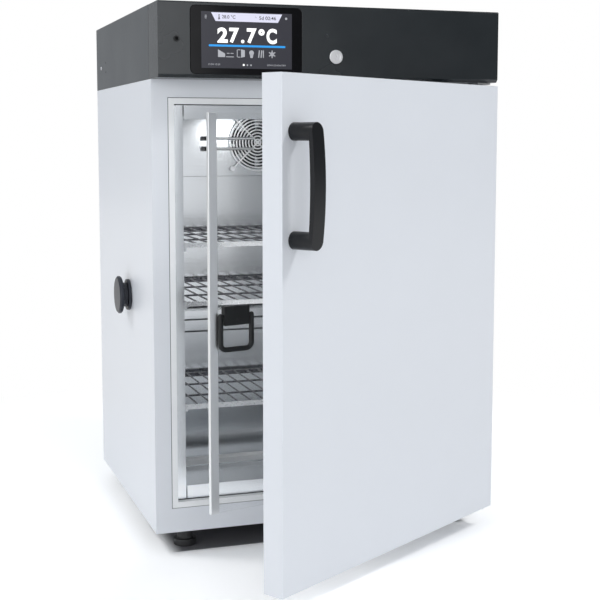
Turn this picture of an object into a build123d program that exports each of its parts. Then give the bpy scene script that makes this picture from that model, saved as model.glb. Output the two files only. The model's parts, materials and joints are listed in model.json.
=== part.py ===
from build123d import *
import os
from math import cos, sin, radians, sqrt

# Cooled incubator: a white insulated cabinet with a dark control box on top, an outer door
# that stands open, a glass inner door that stands ajar, three wire shelves and a cooling unit.
# Millimetres. X runs to the right seen from the front, Y to the back, Z up. The origin lies on
# the floor, midway between the four feet.

# Cabinet
width = 600.0
body_depth = 522.0
body_height = 764.0
foot_height = 36.0
head_height = 120.5
sheet = 1.2
base_sheet = 2.0
front_flange = 24.0
rear_flange = 20.0

# Rivets of the front frame
rivet_inset = 15.0
rivet_corner = 44.7
rivet_foot = 21.2
rivet_low = 54.5
rivet_high = 42.5
rivet_share = 0.5076
rivet_radius = 2.6
rivet_proud = 0.25

# Opening and its white trim
opening_side = 38.4
opening_top = 40.2
opening_bottom = 52.4
trim_face = 9.8
trim_wall = 3.0
trim_depth = 12.0
trim_proud = 1.0

# Stainless rim behind the trim
rim_sheet = 1.2
rim_side = 17.2
rim_top = 24.0
rim_bottom = 24.2
rim_lip = 10.0
rim_gap = 1.8

# Chamber
liner_sheet = 0.8
wall_side = 46.0
wall_top = 37.0
wall_bottom = 48.0
chamber_behind = 122.0
duct_depth = 33.0
step_forward = 60.0
step_duct = 11.0
step_height = 330.7
step_lip = 26.0
panel_sheet = 1.2
panel_gap = 0.4
seam_below = 171.2
return_slot = 8.0
return_slot_side = 34.0
return_slot_below = (14.9, 38.3)

# Cooling unit behind the lower back wall
machine_depth = 127.0
machine_height = 285.0
compressor_radius = 56.0
compressor_height = 150.0
condenser_width = 220.0
condenser_height = 200.0
condenser_depth = 38.0
condenser_fins = 16
condenser_hub = 22.0
grille_slots = 11
grille_slot_gap = 20.0
grille_slot_width = 7.0
grille_slot_pitch = 19.0

# Circulation fan
fan_below = 104.0
fan_frame = 120.0
fan_frame_depth = 25.0
fan_bore = 57.0
fan_hub = 26.0
fan_blades = 7
fan_screw_pitch = 105.0
guard_standoff = 8.5
guard_rings = 9
guard_pitch = 6.3
guard_wire = 2.4
guard_hub = 3.5
shaft_radius = 2.0
running = 0.05

# Sensor tubes in front of the fan
sensor_radius = 2.5
sensor_below = (96.0, 116.6)
sensor_length = 94.0
sensor_clip_x = -108.4
sensor_clip_size = 8.0
sensor_standoff = 16.0

# Evaporator and heater behind the back wall
evaporator_side = 54.0
evaporator_over_step = 19.0
evaporator_under_seam = 33.0
evaporator_deep = 24.0
evaporator_fins = 20
coil_size = 8.0
heater_side = 74.0
heater_under_seam = (19.0, 5.0)
heater_radius = 3.0

# Shelves and their racks
shelf_heights = {"top": 491.2, "middle": 390.8, "bottom": 212.4}
shelf_front = 30.0
shelf_clear = 14.0
shelf_side_gap = 4.9
shelf_bar = 4.0
shelf_bar_height = 8.0
wire_radius = 1.5
wire_pitch = 24.0
rack_wide = 18.0
rack_deep = 2.5
rack_front = 60.0
rack_rear = 42.0
clip_wide = 14.0
clip_high = 8.0
clip_reach = 24.0
rest_gap = 0.3

# Access port in the left wall
port_behind = 311.5
port_height = 385.2
port_bore = 15.0
port_tube = 18.0
port_collar_radius = 28.0
port_collar = 5.5
plug_neck_radius = 22.0
plug_neck = 9.0
plug_knob_radius = 34.0
plug_knob = 8.0
plug_length = 42.0

# Feet
foot_inset_x = 60.0
foot_inset_y = 45.0
foot_radius = 19.5
foot_disc = 12.0
foot_neck_radius = 13.5
foot_recess_radius = 6.0
foot_recess = 9.0

# Control box on top
fascia_overhang = 59.0
fascia_wrap = 12.2
fascia_wall = 4.0
fascia_side = 3.0
fascia_chamfer = 5.0
fascia_round = 2.5
shell_sheet = 1.5
shell_seam = 0.5
bezel_left = 52.6
bezel_width = 187.8
bezel_height = 108.4
bezel_middle = 60.5
bezel_corner = 8.5
bezel_glass = 3.0
bezel_pocket = 2.0
screen_width = 152.4
screen_height = 89.5
service_port_side = 30.0
service_port_height = 61.0
service_port_radius = 4.0
head_screw_behind = 56.6
head_screw_height = 41.7
head_screw_radius = 3.6
side_hole_behind = 103.3
side_hole_heights = (50.5, 32.0)
side_hole_radius = 2.0
vent_length = 60.0
vent_width = 4.0
vent_pitch = 9.0
vents = 22
vent_x = -80.0
supply_wide = 110.0
supply_deep = 100.0
supply_high = 42.0
supply_behind = 110.0
supply_x = 95.0

# Key lock in the middle of the control box
lock_height = 37.8
lock_radius = 9.5
lock_flange = 11.5
lock_core = 7.0
lock_length = 24.0
cam_length = 48.0
cam_wide = 10.0
cam_thick = 2.0

# Outer door. It is 2.3 mm narrower than the cabinet, and turns on pins in brackets.
door_angle = 32.64
door_pin_edge = 15.0
door_pin_out = 26.0
door_pin_ahead = 25.1
door_thickness = 38.3
door_inset = 2.3
door_low = 2.5
door_top_gap = 5.2
door_liner_sheet = 2.0
door_liner_inset = 6.0
door_pocket_inset = 60.0
door_pocket_depth = 14.0
door_return = 14.0
gasket_inset = 16.5
gasket_wide = 12.0
gasket_gap = 0.3
pin_radius = 4.0
pin_length = 13.0
bush_radius = 8.0
bracket_half = 12.0
bracket_sheet = 3.0
bracket_forward = 38.0
bracket_leg = 20.0

# Handle on the outer door
handle_edge = 26.5
handle_below = 82.1
handle_centres = 153.4
handle_radius = 13.0
handle_back_end = 35.0
handle_back_mid = 39.0
handle_front_end = 41.0
handle_front_mid = 47.0

# Glass door
glass_angle = 15.19
glass_pin_side = 47.5
glass_pin_deep = 6.0
glass_width = 508.8
glass_low_gap = 13.4
glass_top_gap = 16.1
glass_pane_sheet = 4.0
profile_thick = 7.0
edge_profile_wide = 15.2
hinge_profile_wide = 14.0
hinge_profile_past = 4.0
pane_seat = 5.0
glass_pin_radius = 2.5
glass_pin_length = 12.0
glass_pin_gap = 0.5

# Ring pull on the glass door
pull_inset = 45.7
pull_height = 386.8
pull_plate_wide = 47.0
pull_plate_high = 31.0
pull_plate_thick = 10.0
ring_wide = 65.7
ring_bottom = 328.2
ring_bar = 4.25
ring_corner = 10.0
ring_pivot_out = 6.0
ring_pin_radius = 2.5
ring_pin_reach = 18.0

# Mains inlet with its rocker switch, on the back of the control box
inlet_side = 100.0
inlet_height = 60.0
inlet_wide = 28.0
inlet_high = 50.0
rocker_radius = 8.0
rocker_gap = 0.3
rocker_flat = 5.5
rocker_tilt = 10.0

# Levels and planes that follow from the sizes above
half = width / 2
front = -body_depth / 2
back = body_depth / 2
base_z = foot_height
body_top = base_z + body_height
head_top = body_top + head_height
open_half = half - opening_side
open_low = base_z + opening_bottom
open_high = body_top - opening_top
rim_y = front + trim_depth
liner_y = rim_y + rim_sheet
inner_half = half - wall_side
inner_low = base_z + wall_bottom
inner_high = body_top - wall_top
back_wall = back - chamber_behind
liner_back = back_wall + panel_sheet + duct_depth
step_face = back_wall - step_forward
liner_step = step_face + panel_sheet + step_duct
step_top = base_z + step_height
liner_step_top = step_top - step_duct
seam_z = body_top - seam_below
machine_front = back - machine_depth
machine_top = base_z + machine_height
fan_z = body_top - fan_below
shelf_half = half - opening_side - rim_side - shelf_side_gap
panel_half = inner_half - panel_gap
inside_front = front + 2 * sheet
inside_back = back - 2 * sheet
inside_half = half - sheet
fascia_front = front - fascia_overhang
fascia_back = front + fascia_wrap
lock_z = body_top + lock_height
port_y = back - port_behind
port_z = base_z + port_height

os.makedirs("parts", exist_ok=True)


def level(z):
    """Horizontal plane, looking down on it: X right, Y back."""
    return Plane.XY.offset(z)


def facing(y):
    """Upright plane across the cabinet; its normal points to the front."""
    return Plane(origin=(0, y, 0), x_dir=(1, 0, 0), z_dir=(0, -1, 0))


def sideways(x):
    """Upright plane from front to back; its normal points to the right."""
    return Plane(origin=(x, 0, 0), x_dir=(0, 1, 0), z_dir=(1, 0, 0))


def leaf_plane(pin, angle, out):
    """Plane parallel to a door opened by angle, out from its pin, normal to the front."""
    turn = radians(angle)
    outward = Vector(sin(turn), -cos(turn), 0)
    origin = Vector(pin[0], pin[1], 0) + outward * out
    return Plane(origin=origin, x_dir=(cos(turn), sin(turn), 0), z_dir=outward)


def leaf_section(pin, angle, along):
    """Plane across a door at a distance along it: x outwards, y up, normal to the pin."""
    turn = radians(angle)
    direction = Vector(cos(turn), sin(turn), 0)
    origin = Vector(pin[0], pin[1], 0) + direction * along
    return Plane(origin=origin, x_dir=(sin(turn), -cos(turn), 0), z_dir=direction * -1)


def span(x0, x1, y0, y1, mode=Mode.ADD):
    """Rectangle between two corners, in the sketch being made."""
    with Locations(((x0 + x1) / 2, (y0 + y1) / 2)):
        Rectangle(x1 - x0, y1 - y0, mode=mode)


# Casing

port_spot = (port_y, port_z)

with BuildPart() as left_side_panel:
    with BuildSketch(level(base_z)):
        span(-half, -inside_half, front + sheet, back - sheet)
        span(-half, -half + front_flange, front + sheet, inside_front)
        span(-half, -half + rear_flange, inside_back, back - sheet)
    extrude(amount=body_height)
    with BuildSketch(sideways(-half)):
        with Locations(port_spot):
            Circle(port_tube)
    extrude(amount=sheet, mode=Mode.SUBTRACT)

with BuildPart() as right_side_panel:
    with BuildSketch(level(base_z)):
        span(inside_half, half, front + sheet, back - sheet)
        span(half - front_flange, half, front + sheet, inside_front)
        span(half - rear_flange, half, inside_back, back - sheet)
    extrude(amount=body_height)

with BuildPart() as base_plate:
    with BuildSketch(level(base_z)):
        span(-inside_half, inside_half, inside_front, inside_back)
    extrude(amount=base_sheet)

with BuildPart() as top_plate:
    with BuildSketch(level(body_top - sheet)):
        span(-inside_half, inside_half, inside_front, inside_back)
    extrude(amount=sheet)

with BuildPart() as rear_panel:
    with BuildSketch(facing(back)):
        span(-half, half, machine_top + panel_gap, body_top)
    extrude(amount=sheet)

with BuildPart() as machine_grille:
    with BuildSketch(facing(back)):
        span(-half, half, base_z, machine_top)
        with Locations((0, (base_z + machine_top) / 2)):
            with GridLocations(width / 4 + grille_slot_gap, grille_slot_pitch, 3, grille_slots):
                SlotOverall(width / 4, grille_slot_width, mode=Mode.SUBTRACT)
    extrude(amount=sheet)

with BuildPart() as front_frame:
    with BuildSketch(facing(front)):
        span(-half, half, base_z, body_top)
        span(
            -open_half - trim_wall,
            open_half + trim_wall,
            open_low - trim_wall,
            open_high + trim_wall,
            mode=Mode.SUBTRACT,
        )
    extrude(amount=-sheet)

rivet_columns = (-half + rivet_inset, half - rivet_inset)
rivet_levels = (base_z + rivet_low, base_z + rivet_share * body_height, body_top - rivet_high)
rivet_spots = [(x, z) for x in rivet_columns for z in rivet_levels]
rivet_spots += [
    (x, z)
    for x in (-half + rivet_corner, half - rivet_corner)
    for z in (base_z + rivet_foot, body_top - rivet_inset)
]

with BuildPart() as frame_rivets:
    with BuildSketch(facing(front)):
        with Locations(rivet_spots):
            Circle(rivet_radius)
    extrude(amount=rivet_proud)

# Opening trim and stainless rim


def around_opening(grow, mode=Mode.ADD):
    """Rectangle round the opening, larger by grow on every side."""
    span(
        -open_half - grow, open_half + grow, open_low - grow, open_high + grow, mode=mode
    )


with BuildPart() as opening_trim:
    with BuildSketch(facing(front)):
        around_opening(trim_face)
        around_opening(0, Mode.SUBTRACT)
    extrude(amount=trim_proud)
    with BuildSketch(facing(front)):
        around_opening(trim_wall)
        around_opening(0, Mode.SUBTRACT)
    extrude(amount=-trim_depth)

rim_inner = open_half - rim_side
zone_half = open_half + trim_wall
zone_low = inner_low - liner_sheet
zone_high = inner_high + liner_sheet

with BuildPart() as side_rim_strips:
    with BuildSketch(facing(rim_y)):
        span(rim_inner, zone_half, zone_low, zone_high)
    extrude(amount=-rim_sheet)
    with BuildSketch(facing(liner_y)):
        span(rim_inner, rim_inner + rim_sheet, open_low, open_high)
    extrude(amount=-rim_lip)
    mirror(about=Plane.YZ)

cross_half = rim_inner - rim_gap
cross_low = open_low + rim_bottom
cross_high = open_high - rim_top

with BuildPart() as cross_rim_strips:
    with BuildSketch(facing(rim_y)):
        span(-cross_half, cross_half, zone_low, cross_low)
        span(-cross_half, cross_half, cross_high, zone_high)
    extrude(amount=-rim_sheet)
    with BuildSketch(facing(liner_y)):
        span(-cross_half, cross_half, cross_low - rim_sheet, cross_low)
        span(-cross_half, cross_half, cross_high, cross_high + rim_sheet)
    extrude(amount=-rim_lip)

# Chamber liner, insulation and the panels on the back wall


def chamber_profile(grow, start):
    """Corners of the chamber's section, with the step over the cooling unit."""
    return [
        (start, inner_low - grow),
        (liner_step + grow, inner_low - grow),
        (liner_step + grow, liner_step_top - grow),
        (liner_back + grow, liner_step_top - grow),
        (liner_back + grow, inner_high + grow),
        (start, inner_high + grow),
    ]


def port_hole(radius, x0, x1):
    """Round hole of the access port between two planes."""
    with BuildSketch(sideways(x0)) as hole:
        with Locations(port_spot):
            Circle(radius)
    extrude(hole.sketch, amount=x1 - x0, mode=Mode.SUBTRACT)


outer_half = inner_half + liner_sheet

with BuildPart() as chamber_liner:
    with BuildSketch(sideways(-outer_half)):
        with BuildLine():
            Polyline(*chamber_profile(liner_sheet, liner_y), close=True)
        make_face()
    extrude(amount=2 * outer_half)
    with BuildSketch(sideways(-inner_half)):
        with BuildLine():
            Polyline(*chamber_profile(0, liner_y - 1), close=True)
        make_face()
    extrude(amount=2 * inner_half, mode=Mode.SUBTRACT)
    port_hole(port_tube, -outer_half, -inner_half)

with BuildPart() as insulation:
    with BuildSketch(level(base_z + base_sheet)):
        span(-inside_half, inside_half, inside_front, inside_back)
    extrude(amount=body_height - base_sheet - sheet)
    with BuildSketch(sideways(-outer_half)):
        with BuildLine():
            Polyline(*chamber_profile(liner_sheet, front), close=True)
        make_face()
    extrude(amount=2 * outer_half, mode=Mode.SUBTRACT)
    with BuildSketch(facing(front)):
        span(-zone_half, zone_half, zone_low, zone_high)
    extrude(amount=-(liner_y - front), mode=Mode.SUBTRACT)
    with BuildSketch(level(base_z)):
        span(-inside_half, inside_half, machine_front, back)
    extrude(amount=machine_height, mode=Mode.SUBTRACT)
    port_hole(port_tube, -half, -inner_half)

with BuildPart() as fan_panel:
    with BuildSketch(facing(back_wall)):
        span(-panel_half, panel_half, seam_z + panel_gap, inner_high - panel_gap)
        with Locations((0, fan_z)):
            Circle(fan_bore - 4, mode=Mode.SUBTRACT)
    extrude(amount=-panel_sheet)

with BuildPart() as rear_wall_panel:
    with BuildSketch(facing(back_wall)):
        span(-panel_half, panel_half, step_top + 4, seam_z - panel_gap)
    extrude(amount=-panel_sheet)

with BuildPart() as step_cover:
    with BuildSketch(sideways(-panel_half)):
        span(step_face, step_face + panel_sheet, inner_low, step_top)
        span(step_face, back_wall, step_top - panel_sheet, step_top)
        span(step_face - step_lip, step_face, inner_low, inner_low + panel_sheet)
    extrude(amount=2 * panel_half)
    with BuildSketch(facing(step_face)):
        with Locations([(0, step_top - below) for below in return_slot_below]):
            SlotOverall(2 * (panel_half - return_slot_side), return_slot)
    extrude(amount=-panel_sheet, mode=Mode.SUBTRACT)

# Circulation fan: guard, motor in its frame, and rotor

with BuildPart() as fan_guard:
    guard_y = back_wall - guard_standoff
    with BuildSketch(facing(guard_y + guard_wire)):
        with Locations((0, fan_z)):
            for ring in range(guard_rings, 0, -1):
                Circle(ring * guard_pitch + guard_wire / 2)
                Circle(ring * guard_pitch - guard_wire / 2, mode=Mode.SUBTRACT)
            Circle(guard_hub)
            spoke = fan_screw_pitch * sqrt(2)
            Rectangle(spoke, guard_wire, rotation=45)
            Rectangle(spoke, guard_wire, rotation=-45)
            with GridLocations(fan_screw_pitch, fan_screw_pitch, 2, 2):
                Circle(5)
    extrude(amount=guard_wire)
    with BuildSketch(facing(guard_y + guard_wire)):
        with Locations((0, fan_z)):
            with GridLocations(fan_screw_pitch, fan_screw_pitch, 2, 2):
                Circle(3.2)
    extrude(amount=-(guard_standoff - guard_wire))

fan_front = back_wall + panel_sheet
fan_back = fan_front + fan_frame_depth
motor_plate = 3.0

with BuildPart() as fan_motor:
    with BuildSketch(facing(fan_front)):
        with Locations((0, fan_z)):
            RectangleRounded(fan_frame, fan_frame, 6)
            Circle(fan_bore, mode=Mode.SUBTRACT)
    extrude(amount=-fan_frame_depth)
    with BuildSketch(facing(fan_back)):
        with Locations((0, fan_z)):
            Circle(fan_hub)
            Rectangle(2 * fan_bore + 2, 6)
            Rectangle(6, 2 * fan_bore + 2)
    extrude(amount=motor_plate)
    with BuildSketch(facing(fan_back - motor_plate)):
        with Locations((0, fan_z)):
            Circle(shaft_radius)
    extrude(amount=fan_frame_depth - motor_plate - 5)


def fan_rotor_blades(centre_y, centre_z, centre_x, hub, tip, blades, chord, pitch):
    """Twisted blades lofted from the hub to the tip, all round an axis along Y."""
    for step in range(blades):
        turn = radians(360 / blades * step)
        out = Vector(cos(turn), 0, sin(turn))
        for_hub = Plane(
            origin=Vector(centre_x, centre_y, centre_z) + out * (hub - 1.5),
            x_dir=(0, 1, 0),
            z_dir=out,
        )
        for_tip = Plane(
            origin=Vector(centre_x, centre_y, centre_z) + out * tip,
            x_dir=(0, 1, 0),
            z_dir=out,
        )
        with BuildSketch(for_hub) as root_end:
            Rectangle(chord * 0.8, 1.8, rotation=pitch)
        with BuildSketch(for_tip) as tip_end:
            Rectangle(chord, 1.2, rotation=pitch + 14)
        loft([root_end.sketch.face(), tip_end.sketch.face()])


rotor_front = fan_front + 2
rotor_back = fan_back - motor_plate - 1

with BuildPart() as circulation_fan:
    with BuildSketch(facing(rotor_back)):
        with Locations((0, fan_z)):
            Circle(fan_hub)
    extrude(amount=rotor_back - rotor_front)
    fan_rotor_blades(
        (rotor_front + rotor_back) / 2, fan_z, 0, fan_hub, fan_bore - 2.5, fan_blades, 19, 38
    )
    with BuildSketch(facing(rotor_back)):
        with Locations((0, fan_z)):
            Circle(shaft_radius + running)
    extrude(amount=fan_frame_depth - motor_plate - 5, mode=Mode.SUBTRACT)

# Sensor tubes and their clips

sensor_y = back_wall - sensor_standoff
sensor_start = sensor_clip_x + sensor_clip_size / 2
sensor_levels = [body_top - below for below in sensor_below]

with BuildPart() as sensor_clip:
    with BuildSketch(facing(back_wall)):
        with Locations([(sensor_clip_x, z) for z in sensor_levels]):
            RectangleRounded(sensor_clip_size, sensor_clip_size + 1, 2)
    extrude(amount=sensor_standoff + sensor_radius + 1.5)

with BuildPart() as sensor_tubes:
    with BuildSketch(sideways(sensor_start)):
        with Locations([(sensor_y, z) for z in sensor_levels]):
            Circle(sensor_radius)
    extrude(amount=sensor_length)

# Evaporator and heater in the duct behind the back wall

evaporator_half = inner_half - evaporator_side
evaporator_low = step_top + evaporator_over_step
evaporator_high = seam_z - evaporator_under_seam
evaporator_tall = evaporator_high - evaporator_low

with BuildPart() as evaporator:
    with BuildSketch(facing(liner_back)):
        with Locations((0, (evaporator_low + evaporator_high) / 2)):
            with GridLocations(2 * evaporator_half / (evaporator_fins - 1), 1, evaporator_fins, 1):
                Rectangle(1.0, evaporator_tall)
            Rectangle(2 * evaporator_half, coil_size)
    extrude(amount=evaporator_deep)
    with BuildSketch(sideways(-evaporator_half)):
        with Locations((liner_back - evaporator_deep / 2, (evaporator_low + evaporator_high) / 2)):
            with GridLocations(1, evaporator_tall / 5, 1, 4):
                Rectangle(coil_size, coil_size)
    extrude(amount=2 * evaporator_half)

heater_half = inner_half - heater_side
heater_y = liner_back - 10

with BuildPart() as heater:
    with BuildLine() as heater_line:
        low, high = (seam_z - below for below in heater_under_seam)
        bend = (high - low) / 2
        Line((-heater_half, heater_y, low), (heater_half, heater_y, low))
        ThreePointArc(
            (heater_half, heater_y, low),
            (heater_half + bend, heater_y, low + bend),
            (heater_half, heater_y, high),
        )
        Line((heater_half, heater_y, high), (-heater_half, heater_y, high))
    with BuildSketch(sideways(-heater_half)):
        with Locations((heater_y, low)):
            Circle(heater_radius)
    sweep()
    with BuildSketch(facing(liner_back)):
        with Locations((-heater_half + 3, (low + high) / 2), (heater_half - 3, (low + high) / 2)):
            Rectangle(5, high - low + 10)
    extrude(amount=10)

# Shelf racks and wire shelves

shelf_levels = {name: base_z + z for name, z in shelf_heights.items()}
shelf_back = {
    "top": back_wall - shelf_clear,
    "middle": back_wall - shelf_clear,
    "bottom": step_face - shelf_clear - 4,
}
rack_low = inner_low + 2
rack_high = inner_high - 20


def shelf_rack(side):
    """Two uprights against one chamber wall, each with a clip under every shelf."""
    wall = side * inner_half
    face = side * (inner_half - rack_deep)
    for y in (front + rack_front, step_face - rack_rear):
        with BuildSketch(sideways(min(wall, face))) as upright:
            span(y - rack_wide / 2, y + rack_wide / 2, rack_low, rack_high)
        extrude(upright.sketch, amount=rack_deep)
        inner = side * (inner_half - clip_reach)
        with BuildSketch(sideways(min(face, inner))) as clips:
            for z in shelf_levels.values():
                top = z - shelf_bar_height - rest_gap
                span(y - clip_wide / 2, y + clip_wide / 2, top - clip_high, top)
        extrude(clips.sketch, amount=clip_reach - rack_deep)


with BuildPart() as left_shelf_rack:
    shelf_rack(-1)

with BuildPart() as right_shelf_rack:
    shelf_rack(1)


def wire_shelf(top, y_back):
    """Wires from front to back between flat bars, on two cross bars."""
    y_front = front + shelf_front
    low = top - shelf_bar_height
    with BuildSketch(level(low)) as rim:
        span(-shelf_half, shelf_half, y_front, y_back)
        span(
            -shelf_half + shelf_bar,
            shelf_half - shelf_bar,
            y_front + shelf_bar,
            y_back - shelf_bar,
            mode=Mode.SUBTRACT,
        )
    extrude(rim.sketch, amount=shelf_bar_height)
    length = y_back - y_front
    cross_top = top - 2 * wire_radius + 0.5
    with BuildSketch(level(cross_top - 3)) as crosses:
        for share in (0.33, 0.67):
            y = y_front + share * length
            span(-shelf_half + 1, shelf_half - 1, y - 2.5, y + 2.5)
    extrude(crosses.sketch, amount=3)
    count = int(2 * (shelf_half - shelf_bar) / wire_pitch)
    with BuildSketch(facing(y_back - 1)) as wires:
        with Locations((0, top - wire_radius)):
            with GridLocations(wire_pitch, 1, count, 1):
                Circle(wire_radius)
    extrude(wires.sketch, amount=length - 2)


with BuildPart() as shelf_top:
    wire_shelf(shelf_levels["top"], shelf_back["top"])

with BuildPart() as shelf_middle:
    wire_shelf(shelf_levels["middle"], shelf_back["middle"])

with BuildPart() as shelf_bottom:
    wire_shelf(shelf_levels["bottom"], shelf_back["bottom"])

# Access port: tube through the wall, and the plug in it

with BuildPart() as port_sleeve:
    with BuildSketch(sideways(-half)):
        with Locations(port_spot):
            Circle(port_tube)
    extrude(amount=half - inner_half)
    with BuildSketch(sideways(-half)):
        with Locations(port_spot):
            Circle(port_collar_radius)
    extrude(amount=-port_collar)
    port_hole(port_bore, -half - port_collar, -inner_half)

plug_start = -half - port_collar - rest_gap

with BuildPart() as port_plug:
    with BuildSketch(level(port_z)):
        with BuildLine():
            Polyline(
                (plug_start + plug_length, port_y),
                (plug_start + plug_length, port_y + port_bore - 1.5),
                (plug_start, port_y + port_bore - rest_gap),
                (plug_start, port_y + plug_neck_radius),
                (plug_start - plug_neck, port_y + plug_neck_radius),
                (plug_start - plug_neck, port_y + plug_knob_radius - 2),
                (plug_start - plug_neck - 2, port_y + plug_knob_radius),
                (plug_start - plug_neck - plug_knob + 2.5, port_y + plug_knob_radius),
                (plug_start - plug_neck - plug_knob, port_y + plug_knob_radius - 3),
                (plug_start - plug_neck - plug_knob, port_y),
                close=True,
            )
        make_face()
    revolve(axis=Axis((0, port_y, port_z), (1, 0, 0)))

# Feet

foot_spots = [
    (x, y)
    for x in (-half + foot_inset_x, half - foot_inset_x)
    for y in (front + foot_inset_y, back - foot_inset_y)
]

with BuildPart() as feet:
    with BuildSketch(level(0)):
        with Locations(foot_spots):
            Circle(foot_radius)
    extrude(amount=foot_disc)
    with BuildSketch(level(foot_disc)):
        with Locations(foot_spots):
            Circle(foot_neck_radius)
    extrude(amount=foot_height - foot_disc)
    with BuildSketch(level(0)):
        with Locations(foot_spots):
            Circle(foot_recess_radius)
    extrude(amount=foot_recess, mode=Mode.SUBTRACT)

# Compressor, condenser and condenser fan on the base plate

machine_floor = base_z + base_sheet
compressor_x = -160.0
compressor_y = machine_front + compressor_radius + 6
condenser_x = 130.0
condenser_y = inside_back - condenser_depth - 4
condenser_fan_z = machine_floor + condenser_height / 2 + 6
condenser_fan_radius = 0.38 * condenser_height
condenser_fan_y = condenser_y - 26

with BuildPart() as compressor:
    with BuildSketch(Plane(origin=(compressor_x, compressor_y, 0), x_dir=(1, 0, 0), z_dir=(0, -1, 0))):
        with BuildLine():
            Polyline(
                (0, machine_floor + 5),
                (compressor_radius - 8, machine_floor + 5),
                (compressor_radius, machine_floor + 24),
                (compressor_radius, machine_floor + compressor_height - 42),
                (compressor_radius - 7, machine_floor + compressor_height - 20),
                (compressor_radius - 24, machine_floor + compressor_height - 5),
                (0, machine_floor + compressor_height),
                close=True,
            )
        make_face()
    revolve(axis=Axis((compressor_x, compressor_y, 0), (0, 0, 1)))
    with BuildSketch(level(machine_floor)):
        with Locations((compressor_x, compressor_y)):
            RectangleRounded(2 * compressor_radius + 40, 2 * compressor_radius - 6, 10)
    extrude(amount=6)

with BuildPart() as condenser:
    with BuildSketch(level(machine_floor)):
        with Locations((condenser_x, condenser_y + condenser_depth / 2)):
            with GridLocations(condenser_width / (condenser_fins - 1), 1, condenser_fins, 1):
                Rectangle(1.2, condenser_depth)
            Rectangle(condenser_width, 10)
    extrude(amount=condenser_height)

with BuildPart() as condenser_fan_motor:
    motor_back = machine_front + 2
    motor_front = condenser_fan_y - 12
    with BuildSketch(facing(motor_front)):
        with Locations((condenser_x, condenser_fan_z)):
            Circle(26)
    extrude(amount=-(motor_back - motor_front))
    with BuildSketch(facing(motor_front)):
        with Locations((condenser_x, condenser_fan_z)):
            Circle(shaft_radius)
    extrude(amount=-22)
    with BuildSketch(level(machine_floor)):
        span(condenser_x - 30, condenser_x + 30, motor_back, motor_front)
    extrude(amount=3)
    with BuildSketch(level(machine_floor)):
        span(condenser_x - 14, condenser_x + 14, motor_back, motor_back + 3)
    extrude(amount=condenser_fan_z - machine_floor)

with BuildPart() as condenser_fan:
    with BuildSketch(facing(condenser_fan_y + 9)):
        with Locations((condenser_x, condenser_fan_z)):
            Circle(condenser_hub)
    extrude(amount=18)
    fan_rotor_blades(
        condenser_fan_y, condenser_fan_z, condenser_x, condenser_hub, condenser_fan_radius, 5, 20, 42
    )
    with BuildSketch(facing(condenser_fan_y + 9)):
        with Locations((condenser_x, condenser_fan_z)):
            Circle(shaft_radius + running)
    extrude(amount=18, mode=Mode.SUBTRACT)

# Control box: fascia, shell and what is in it

bezel_x = -half + bezel_left + bezel_width / 2
bezel_z = body_top + bezel_middle
service_spot = (-half + service_port_side, body_top + service_port_height)

with BuildPart() as control_fascia:
    with BuildSketch(facing(fascia_back)):
        span(-half, half, body_top, head_top)
    extrude(amount=fascia_back - fascia_front)
    front_face = control_fascia.faces().sort_by(Axis.Y)[0]
    chamfer(front_face.edges().sort_by(Axis.Z)[0], fascia_chamfer)
    fillet(
        control_fascia.faces().sort_by(Axis.Y)[0].edges().sort_by(Axis.Z)[-1], fascia_round
    )
    with BuildSketch(facing(fascia_back)):
        span(
            -half + fascia_side,
            half - fascia_side,
            body_top + fascia_side,
            head_top - fascia_side,
        )
    extrude(amount=fascia_back - fascia_front - fascia_wall, mode=Mode.SUBTRACT)
    with BuildSketch(facing(fascia_front)):
        with Locations((bezel_x, bezel_z)):
            RectangleRounded(bezel_width + 0.4, bezel_height + 0.4, bezel_corner)
    extrude(amount=-bezel_pocket, mode=Mode.SUBTRACT)
    with BuildSketch(facing(fascia_front)):
        with Locations((bezel_x, bezel_z)):
            Rectangle(screen_width + 6, screen_height + 6)
        with Locations(service_spot):
            Circle(service_port_radius)
        with Locations((0, lock_z)):
            Circle(lock_radius)
    extrude(amount=-fascia_wall, mode=Mode.SUBTRACT)
    cam_y = fascia_front + lock_length
    with BuildSketch(level(body_top)):
        span(-cam_wide, cam_length * 0.82, cam_y - 2, cam_y + cam_thick + 2)
    extrude(amount=fascia_side, mode=Mode.SUBTRACT)

with BuildPart() as display_glass:
    with BuildSketch(facing(fascia_front + bezel_pocket)):
        with Locations((bezel_x, bezel_z)):
            RectangleRounded(bezel_width, bezel_height, bezel_corner)
    extrude(amount=bezel_glass)

with BuildPart() as display_module:
    with BuildSketch(facing(fascia_front + bezel_pocket)):
        with Locations((bezel_x, bezel_z)):
            Rectangle(screen_width + 5, screen_height + 5)
    extrude(amount=-10)

with BuildPart() as controller_board:
    with BuildSketch(facing(fascia_front + bezel_pocket + 10)):
        with Locations((bezel_x, bezel_z)):
            Rectangle(screen_width + 5, screen_height + 5)
    extrude(amount=-1.6)
    with BuildSketch(facing(fascia_front + bezel_pocket + 11.6)):
        with Locations((bezel_x, bezel_z)):
            with GridLocations(50, 36, 3, 2):
                Rectangle(22, 16)
    extrude(amount=-6)

with BuildPart() as service_port:
    with BuildSketch(facing(fascia_front)):
        with Locations(service_spot):
            Circle(service_port_radius + 1)
    extrude(amount=0.8)
    with BuildSketch(facing(fascia_front)):
        with Locations(service_spot):
            Circle(service_port_radius)
    extrude(amount=-14)
    with BuildSketch(facing(fascia_front - 0.8)):
        with Locations(service_spot):
            Circle(service_port_radius - 1.2)
    extrude(amount=-9, mode=Mode.SUBTRACT)

shell_front = fascia_back + shell_seam
inlet_x = half - inlet_side
inlet_z = body_top + inlet_height

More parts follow.
